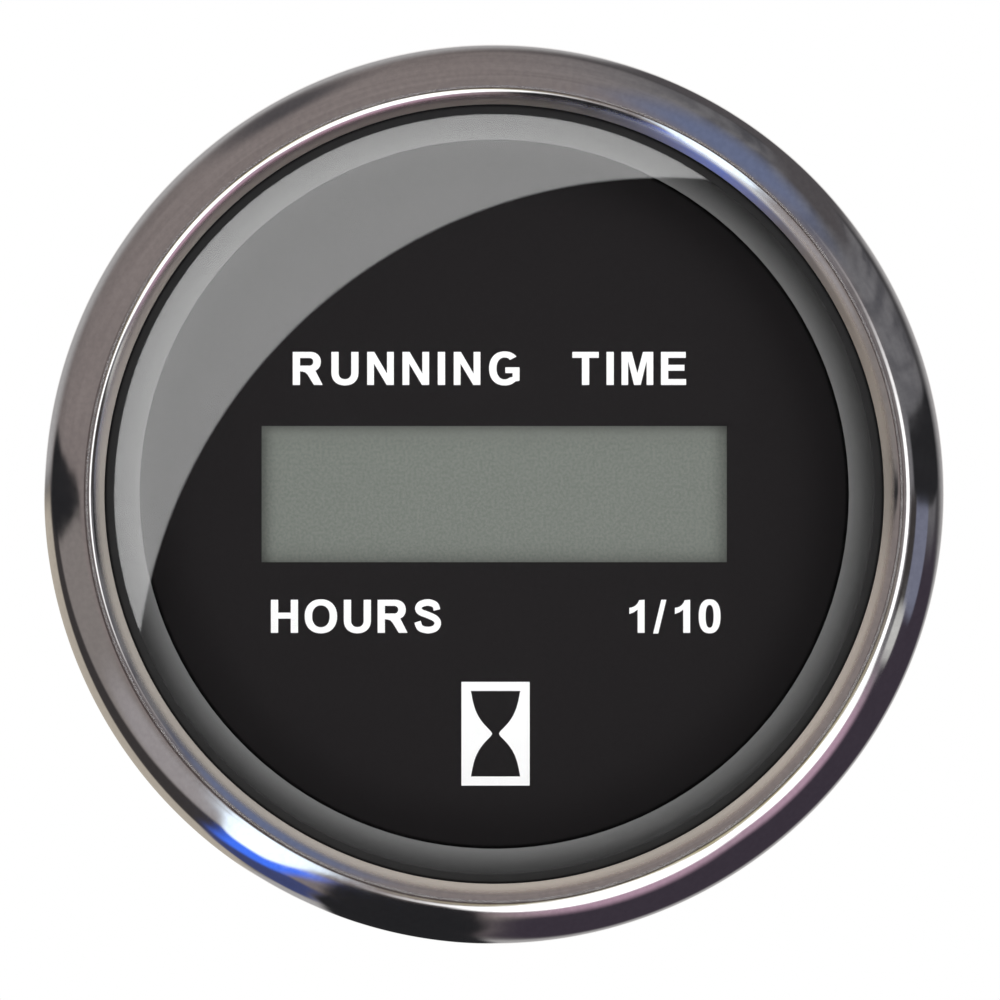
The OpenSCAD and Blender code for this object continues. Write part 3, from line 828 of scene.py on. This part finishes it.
add_bezel()


# Fasteners behind the panel

def ramp(share, flat, slope):
    """0 up to a flat share, then up to 1 over the slope, and 1 beyond it."""
    return min(1, max(0, (share - flat) / slope))


def stud_rings(node, side, core_r, free_y, bare_y):
    """Rings of one stud: a head, a plain core up to bare_y, and a thread from free_y to a bevelled end."""
    low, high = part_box(node)
    across = (high.x - low.x) / 2 - STUD_HEAD_R
    axis = ((low.x + high.x) / 2 + side * across, (low.z + high.z) / 2)
    root_r = STUD_R - THREAD_DEPTH
    bevel = 0.5 * MM

    def thread(y):
        lead = min(1, (y - free_y) / STUD_PITCH)
        most = STUD_R if y < high.y - bevel else STUD_R - (y - high.y + bevel)

        def radius(angle):
            share = abs(2 * ((y / STUD_PITCH + angle / TURN) % 1) - 1)
            crest = ramp(share, flat=0.12, slope=0.72)
            return min(most, core_r + (root_r - core_r) * lead + (STUD_R - root_r) * crest * lead)
        return radius

    head_y = low.y + STUD_HEAD_T
    rows = [(low.y, STUD_HEAD_R), (head_y, STUD_HEAD_R), (head_y, core_r), (bare_y, core_r)]
    count = round((high.y - free_y) / STUD_PITCH * THREAD_STEPS)
    for i in range(count + 1):
        y = free_y + (high.y - free_y) * i / count
        rows.append((y, thread(y)))
    return [ring(axis, y, THREAD_SEGMENTS, radius) for y, radius in rows]


def add_studs():
    """Terminal studs, threaded from just inside their nuts, and clamp studs, threaded from the case on."""
    inside_nut = 0.1 * MM
    off_case = 0.05 * MM
    nut_end_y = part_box("terminal_nuts")[1].y
    for node in ("positive_stud", "negative_stud"):
        rings = stud_rings(node, 0, STUD_CORE_R, nut_end_y - inside_nut, nut_end_y - 2 * inside_nut)
        mesh = ringed_mesh(node + "_threaded", [rings], closed=False)
        add_piece(node + "_threaded", mesh, BRASS, "meter", "brass", [node], THREAD_SHARP)
    stacks = [stud_rings("clamp_studs", side, STUD_R - THREAD_DEPTH, BOSS_Y + off_case, BOSS_Y)
              for side in (-1, 1)]
    mesh = ringed_mesh("clamp_studs_threaded", stacks, closed=False)
    add_piece("clamp_studs_threaded", mesh, STEEL, "meter", "zinc_steel", ["clamp_studs"], THREAD_SHARP)


def thumb_nut_rings(node):
    """Rings of a thumb nut: bore, plain collar, and a head with a straight knurl between two bevels."""
    low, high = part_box(node)
    axis = ((low.x + high.x) / 2, (low.z + high.z) / 2)
    head_y = low.y + THUMB_COLLAR
    edge = 0.2 * MM
    bevel = 0.5 * MM
    root_r = THUMB_R - THUMB_TOOTH
    face_r = root_r - bevel
    step = THUMB_TOOTH / THUMB_TOOTH_ROWS

    def knurl(reach):
        def radius(angle):
            share = abs(2 * (THUMB_TEETH * angle / TURN % 1) - 1)
            return root_r + min(THUMB_TOOTH * ramp(share, flat=0.1, slope=0.75), reach)
        return radius

    rows = [(low.y, THUMB_BORE_R + edge), (low.y, THUMB_COLLAR_R - edge), (low.y + edge, THUMB_COLLAR_R),
            (head_y, THUMB_COLLAR_R), (head_y, face_r), (head_y + bevel, root_r)]
    reaches = [step * i for i in range(1, THUMB_TOOTH_ROWS + 1)]
    rows += [(head_y + bevel + reach, knurl(reach)) for reach in reaches]
    rows += [(high.y - bevel - reach, knurl(reach)) for reach in reversed(reaches)]
    rows += [(high.y - bevel, root_r), (high.y, face_r), (high.y, THUMB_BORE_R + 2 * edge),
             (high.y - 2 * edge, THUMB_BORE_R), (low.y + edge, THUMB_BORE_R)]
    return [ring(axis, y, THUMB_TEETH * THUMB_TOOTH_SEGMENTS, radius) for y, radius in rows]


def add_thumb_nuts():
    for side in ("left", "right"):
        node = side + "_thumb_nut"
        mesh = ringed_mesh(node + "_knurled", [thumb_nut_rings(node)], closed=True)
        add_piece(node + "_knurled", mesh, BRASS, side + "_nut", "brass", [node], METAL_SHARP)


def add_softened_pieces():
    fine = 0.1 * MM
    broad = 0.2 * MM
    for node, width, finish, body, slot in (
            ("fixing_nuts", fine, BRASS, "meter", "brass"),
            ("terminal_nuts", fine, BRASS, "meter", "brass"),
            ("terminal_washers", fine, STEEL, "meter", "zinc_steel"),
            ("clamp_washers", fine, STEEL, "clamp", "zinc_steel"),
            ("clamp_bracket", broad, STEEL, "clamp", "zinc_steel")):
        add_piece(node + "_softened", softened_mesh(node, width), finish, body, slot, [node], METAL_SHARP)


def add_polarity_marks():
    """Plus and minus moulded on the back of the case, beside their terminals."""
    arm = 1.3 * MM
    half = 0.28 * MM
    height = 0.35 * MM
    sunk = 0.05 * MM
    x_out = 7.2 * MM
    bar = [(-arm, -half), (arm, -half), (arm, half), (-arm, half)]
    cross = [(-arm, -half), (-half, -half), (-half, -arm), (half, -arm), (half, -half), (arm, -half),
             (arm, half), (half, half), (half, arm), (-half, arm), (-half, half), (-arm, half)]
    marks = (("positive_stud", "plus_mark", cross), ("negative_stud", "minus_mark", bar))
    for node, name, outline in marks:
        low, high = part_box(node)
        x = (low.x + high.x) / 2
        z = (low.z + high.z) / 2
        x += math.copysign(x_out, x)
        loop = [(x + dx, z + dz) for dx, dz in outline]
        mesh = outlined_mesh(name, [loop], CASE_BACK_Y + height, height + sunk)
        add_piece(name, mesh, CASE, "meter", "case")


add_studs()
add_thumb_nuts()
add_softened_pieces()
add_polarity_marks()


# Studio: what the chrome and the glass mirror, by direction. A turn is the angle round the dial's axis from
# the right, and a tilt is the angle away from the camera, both in degrees.

# Round edge before the lamp that the glass mirrors, measured on the glass
GLARE_X = 11.35 * MM
GLARE_Z = -14.2 * MM
GLARE_R = 35.3 * MM
GLARE_EDGE = 0.12 * MM

# Level of that lamp by radius on the glass, and the tilt up to which mirrors show it
GLARE_RADII = (22 * MM, 25.5 * MM)
GLARE_LEVELS = (2.95, 3.55)
GLARE_TILT = 1.4
GLARE_TILT_EDGE = 0.2

# Level of the light that everything but mirrors gets from all round
SOFT_LEVEL = 0.79

# Waves in what the plate mirrors: how much they shift tilt and turn
WAVER_SCALE = 1.6
WAVER_TILT = 12
WAVER_TURN = 4

# Walls of the room, from dark to pale where there are two colours
WARM_WALL = ((0.2, 0.17, 0.165, 1), (0.3, 0.26, 0.25, 1))
COOL_WALL = ((0.13, 0.13, 0.14, 1), (0.23, 0.225, 0.235, 1))
STREAK = (0.06, 0.06, 0.07, 1)
DUSK = (0.07, 0.065, 0.065, 1)
HORIZON = (0.05, 0.048, 0.05, 1)
BACK_WALL = (0.44, 0.43, 0.43, 1)
BRIGHT_WALL = (1.05, 1.04, 1.03, 1)

# How cloudy the walls are along x, y and z
WALL_CLOUDS = (3, 3, 9)

# Where one wall gives way to the next, by tilt and by a direction's x, and how strongly
COOL_X = (-0.1, 0.55)
DUSK_TILT = (60, 105)
DUSK_SHARE = 0.2
HORIZON_TILT = (100, 112)
HORIZON_X = (-0.2, 0.4)
HORIZON_SHARES = (0.1, 0.8)
BACK_WALL_X = (-0.4, 0.2)
BACK_WALL_TILTS = (98, 112)
BACK_WALL_RISE = 36
BRIGHT_TILT = (146, 162)

# Streaks on the walls: the turn round which they lie, how far from it they end and are full, how often
# they change in a degree of turn and of tilt, and the noise values at which one begins and is full
STREAK_TURN = 39
STREAK_REACH = (36, 14)
STREAK_SHARE = 0.72
STREAKS_BY_TURN = 0.45
STREAKS_BY_TILT = 0.012
STREAK_SPAN = (0.46, 0.57)

# Colours of the screens
BLACK = (0.02, 0.02, 0.022, 1)
PLUM = (0.05, 0.04, 0.055, 1)
SAND = (0.25, 0.225, 0.215, 1)
CREAM = (0.36, 0.335, 0.34, 1)
TAN = (0.5, 0.45, 0.38, 1)
SOOT = (0.05, 0.045, 0.045, 1)
SHADE = (0.085, 0.068, 0.066, 1)
SMOKE = (0.09, 0.083, 0.087, 1)
NAVY = (0.06, 0.075, 0.19, 1)
HAZE = (0.155, 0.185, 0.3, 1)
SLATE = (0.19, 0.2, 0.27, 1)
PALE = (0.62, 0.62, 0.6, 1)
BLUE = (0.075, 0.23, 1.2, 1)
WINDOW = (1.3, 1.5, 1.7, 1)
PINK = (0.51, 0.335, 0.435, 1)
OLIVE = (0.5, 0.45, 0.27, 1)
LAMP = (1.6, 1.6, 1.6, 1)


class Screen(NamedTuple):
    """One painted screen, by turn and tilt."""
    colour: tuple
    # Turn at its middle, and half its width
    middle: float
    half: float
    # Lowest and highest tilt
    low: float
    high: float
    # 2 makes an oval, and more a squarer outline
    roundness: float
    # Share of its size over which it fades out
    soft: float
    # How much wider it gets, and how far its middle moves, towards its highest tilt
    taper: float = 0
    lean: float = 0
    # How much its tilt rises for each degree of turn
    slope: float = 0


# The screens, in the order in which they cover one another
SCREENS = (
    Screen(SMOKE, 119, 9, 66, 120, roundness=2, soft=0.7),
    Screen(SMOKE, 43, 7, 56, 122, roundness=3, soft=0.4, lean=2),
    Screen(SMOKE, 56, 19, 110, 152, roundness=4, soft=0.25),
    Screen(HAZE, 56, 15, 0, 58, roundness=2, soft=0.62),
    Screen(SAND, 206, 25, 14, 93, roundness=6, soft=0.1),
    Screen(CREAM, 219, 13, 16, 70, roundness=3, soft=0.4),
    Screen(SOOT, 208, 30, 78, 150, roundness=8, soft=0.12, slope=-0.55),
    Screen(TAN, 208, 28, 113, 190, roundness=8, soft=0.1),
    Screen(NAVY, 238, 9, 78, 122, roundness=5, soft=0.2),
    Screen(PLUM, 312, 43, 43, 138, roundness=5, soft=0.12, taper=-0.03),
    Screen(SOOT, 351, 9, 24, 44, roundness=5, soft=0.2),
    Screen(SLATE, 352, 8.5, 42, 82, roundness=6, soft=0.15),
    Screen(PALE, 340, 4, 31, 54, roundness=5, soft=0.25),
    Screen(BLACK, 179.5, 5, 15, 114, roundness=4, soft=0.15, taper=0.66, lean=-1.3),
    Screen(BLACK, 6, 6.8, 33, 117, roundness=6, soft=0.1, taper=0.12, lean=1.2),
    Screen(BLACK, 258, 11, 21, 165, roundness=8, soft=0.1),
    Screen(BLUE, 237.4, 6.6, 48, 91, roundness=3, soft=0.36, taper=-0.2, lean=-2, slope=-2),
    Screen(WINDOW, 236.4, 6.5, 10, 69, roundness=6, soft=0.15, taper=-0.44, lean=-1, slope=-0.6),
    Screen(WINDOW, 236, 7.5, 8, 17, roundness=3, soft=0.3),
    Screen(PINK, 289, 15, 14, 52, roundness=2, soft=0.5),
    Screen(PINK, 317, 14, 14, 50, roundness=2, soft=0.5),
    Screen(OLIVE, 300, 36, 4, 13, roundness=3, soft=0.5),
    Screen(CREAM, 380, 16, 16, 21, roundness=4, soft=0.4),
    Screen(SHADE, 275, 122, -7, 7, roundness=6, soft=0.15),
    Screen(LAMP, 319, 59, 13.5, 20.5, roundness=8, soft=0.2),
    Screen(LAMP, 285, 21, 8, 35, roundness=1.8, soft=0.14, lean=-2, slope=0.12),
    Screen(LAMP, 317, 19, 10, 29, roundness=1.8, soft=0.14),
)

# Least width of a screen that narrows, as a share of its middle width
LEAST_WIDTH = 0.1


def screen_share(g, turn, tilt, screen):
    """How much of a screen is seen at a turn and a tilt: 1 inside it and 0 outside."""
    span = screen.high - screen.low
    off = g.math("WRAP", g.math("SUBTRACT", turn, screen.middle), 180, -180)
    level = g.math("MULTIPLY_ADD", off, -screen.slope, tilt)
    height = g.math("MULTIPLY_ADD", level, 2 / span, -(screen.high + screen.low) / span)
    aside = g.math("MULTIPLY_ADD", height, -screen.lean, off)
    width = g.math("MULTIPLY_ADD", height, screen.half * screen.taper, screen.half)
    width = g.math("MAXIMUM", width, screen.half * LEAST_WIDTH)
    reach = [g.math("POWER", g.math("ABSOLUTE", value), screen.roundness)
             for value in (g.math("DIVIDE", aside, width), height)]
    outward = g.math("POWER", g.math("ADD", *reach), 1 / screen.roundness)
    return g.remap(outward, 1 + screen.soft, 1 - screen.soft)


def room_colour(g, direction, x, turn, tilt):
    """Warm grey room, cooler and streaked on the right, dark at the horizon and bright at the back."""
    drift = g.noise(g.stretched(direction, WALL_CLOUDS), scale=1, detail=4)
    colour = g.mix(g.remap(x, *COOL_X), g.mix(drift, *WARM_WALL), g.mix(drift, *COOL_WALL))

    # The streaks are long in tilt and narrow in turn
    grid = g.node("ShaderNodeCombineXYZ")
    g.put(grid.inputs[0], g.times(turn, STREAKS_BY_TURN))
    g.put(grid.inputs[1], g.times(tilt, STREAKS_BY_TILT))
    streak = g.remap(g.noise(grid.outputs[0], scale=1, detail=3), *STREAK_SPAN)
    aside = g.math("ABSOLUTE", g.math("SUBTRACT", turn, STREAK_TURN))
    streak = g.times(streak, g.remap(aside, *STREAK_REACH, 0, STREAK_SHARE))
    colour = g.mix(streak, colour, STREAK)

    colour = g.mix(g.remap(tilt, *DUSK_TILT, 0, DUSK_SHARE), colour, DUSK)
    horizon = g.times(g.remap(tilt, *HORIZON_TILT), g.remap(x, *HORIZON_X, *HORIZON_SHARES))
    colour = g.mix(horizon, colour, HORIZON)
    start = g.remap(x, *BACK_WALL_X, *BACK_WALL_TILTS)
    behind = g.remap(tilt, start, g.math("ADD", start, BACK_WALL_RISE))
    colour = g.mix(behind, colour, BACK_WALL)
    return g.mix(g.remap(tilt, *BRIGHT_TILT), colour, BRIGHT_WALL)


def studio_colour(g, direction):
    """Colour that a mirror shows in a direction: the room, its screens, and the lamp in the glass."""
    x, y, z = g.parts(direction)
    facing = g.times(y, -1)
    true_tilt = g.math("DEGREES", g.math("ARCCOSINE", facing))
    true_turn = g.math("DEGREES", g.math("ARCTAN2", z, x))
    waver = g.math("SUBTRACT", g.noise(direction, WAVER_SCALE, detail=0), 0.5)
    tilt = g.math("MULTIPLY_ADD", waver, WAVER_TILT, true_tilt)
    turn = g.math("MULTIPLY_ADD", waver, WAVER_TURN, true_turn)
    colour = room_colour(g, direction, x, turn, tilt)
    for screen in SCREENS:
        colour = g.mix(screen_share(g, turn, tilt, screen), colour, screen.colour)

    # Straight at the camera it is dark, but for one lamp behind a round edge that the glass mirrors
    reach = CAMERA_DISTANCE + LENS_Y - BEZEL_EDGE_Y
    across = g.math("MULTIPLY_ADD", g.math("DIVIDE", x, facing), reach, CAMERA_X)
    upward = g.math("MULTIPLY_ADD", g.math("DIVIDE", z, facing), reach, CAMERA_Z)

    def distance(from_x, from_z):
        sides = (g.math("SUBTRACT", across, from_x), g.math("SUBTRACT", upward, from_z))
        return g.math("SQRT", g.math("ADD", *(g.math("POWER", side, 2) for side in sides)))

    lamp = g.remap(distance(GLARE_X, GLARE_Z), GLARE_R - GLARE_EDGE, GLARE_R + GLARE_EDGE)
    level = g.remap(distance(0, 0), *GLARE_RADII, *GLARE_LEVELS)
    straight = g.remap(true_tilt, GLARE_TILT + GLARE_TILT_EDGE, GLARE_TILT)
    return g.mix(straight, colour, g.times(lamp, level))


def light_studio():
    """White to the camera, the studio's walls to mirrors, and even soft light to everything else."""
    world = bpy.data.worlds.new("studio")
    bpy.context.scene.world = world
    world.use_nodes = True
    g = Graph(world.node_tree)
    walls = studio_colour(g, g.node("ShaderNodeTexCoord").outputs["Generated"])
    path = g.node("ShaderNodeLightPath").outputs

    def background(colour):
        made = g.node("ShaderNodeBackground")
        g.put(made.inputs["Color"], colour)
        return made.outputs[0]

    def either(share, first, second):
        made = g.node("ShaderNodeMixShader")
        for socket, value in zip(made.inputs, (share, first, second)):
            g.put(socket, value)
        return made.outputs[0]

    seen = either(path["Is Glossy Ray"], background(grey(SOFT_LEVEL)), background(walls))
    seen = either(path["Is Camera Ray"], seen, background(grey(1)))
    g.put(world.node_tree.nodes["World Output"].inputs["Surface"], seen)


def add_lamp(name, place, aim, size, watts):
    """Square lamp at a place in metres; mirrors don't show it, because the screens stand for it there."""
    light = bpy.data.lights.new(name, "AREA")
    light.size = size
    light.energy = watts
    lamp = bpy.data.objects.new(name, light)
    bpy.context.scene.collection.objects.link(lamp)
    lamp.location = place
    lamp.rotation_euler = (Vector(aim) - Vector(place)).to_track_quat("-Z", "Y").to_euler()
    lamp.visible_glossy = False


def add_floor():
    """Pale round floor below the meter, low enough to stay out of the photograph's frame."""
    floor_z = -42 * MM
    floor_t = 2 * MM
    floor_r = 280 * MM
    segments = 96
    made, g, shader, place = material("studio_floor", {"Roughness": 0.7})
    g.put(shader.inputs["Base Color"], g.mix(g.noise(place, scale=60, detail=3), grey(0.86), grey(0.9)))
    angles = [TURN * i / segments for i in range(segments)]
    rings = [[(floor_r * math.cos(angle), floor_r * math.sin(angle), z) for angle in angles]
             for z in (floor_z - floor_t, floor_z)]
    mesh = ringed_mesh("studio_floor", [rings], closed=False)
    floor = bpy.data.objects.new("studio_floor", mesh)
    bpy.context.scene.collection.objects.link(floor)
    dress(floor, made)
    floor.visible_glossy = False


def add_camera():
    data = bpy.data.cameras.new("camera")
    data.sensor_width = SENSOR_WIDTH
    data.lens = SENSOR_WIDTH * CAMERA_DISTANCE / FRAME_WIDTH
    data.clip_end = 20
    camera = bpy.data.objects.new("camera", data)
    bpy.context.scene.collection.objects.link(camera)
    camera.location = (CAMERA_X, BEZEL_EDGE_Y - CAMERA_DISTANCE, CAMERA_Z)
    camera.rotation_euler = (math.pi / 2, 0, 0)
    bpy.context.scene.camera = camera


light_studio()
add_lamp("key_lamp", place=(-0.5, -0.75, 0.65), aim=(0, 0, 0), size=0.6, watts=4.4)
add_lamp("fill_lamp", place=(0.7, -0.65, 0.1), aim=(0, 0, 0), size=0.6, watts=2.4)
add_lamp("back_lamp", place=(0.45, 0.8, 0.6), aim=(0, 0.02, 0), size=0.5, watts=6)
add_floor()
add_camera()
bpy.context.scene.view_settings.view_transform = "Standard"
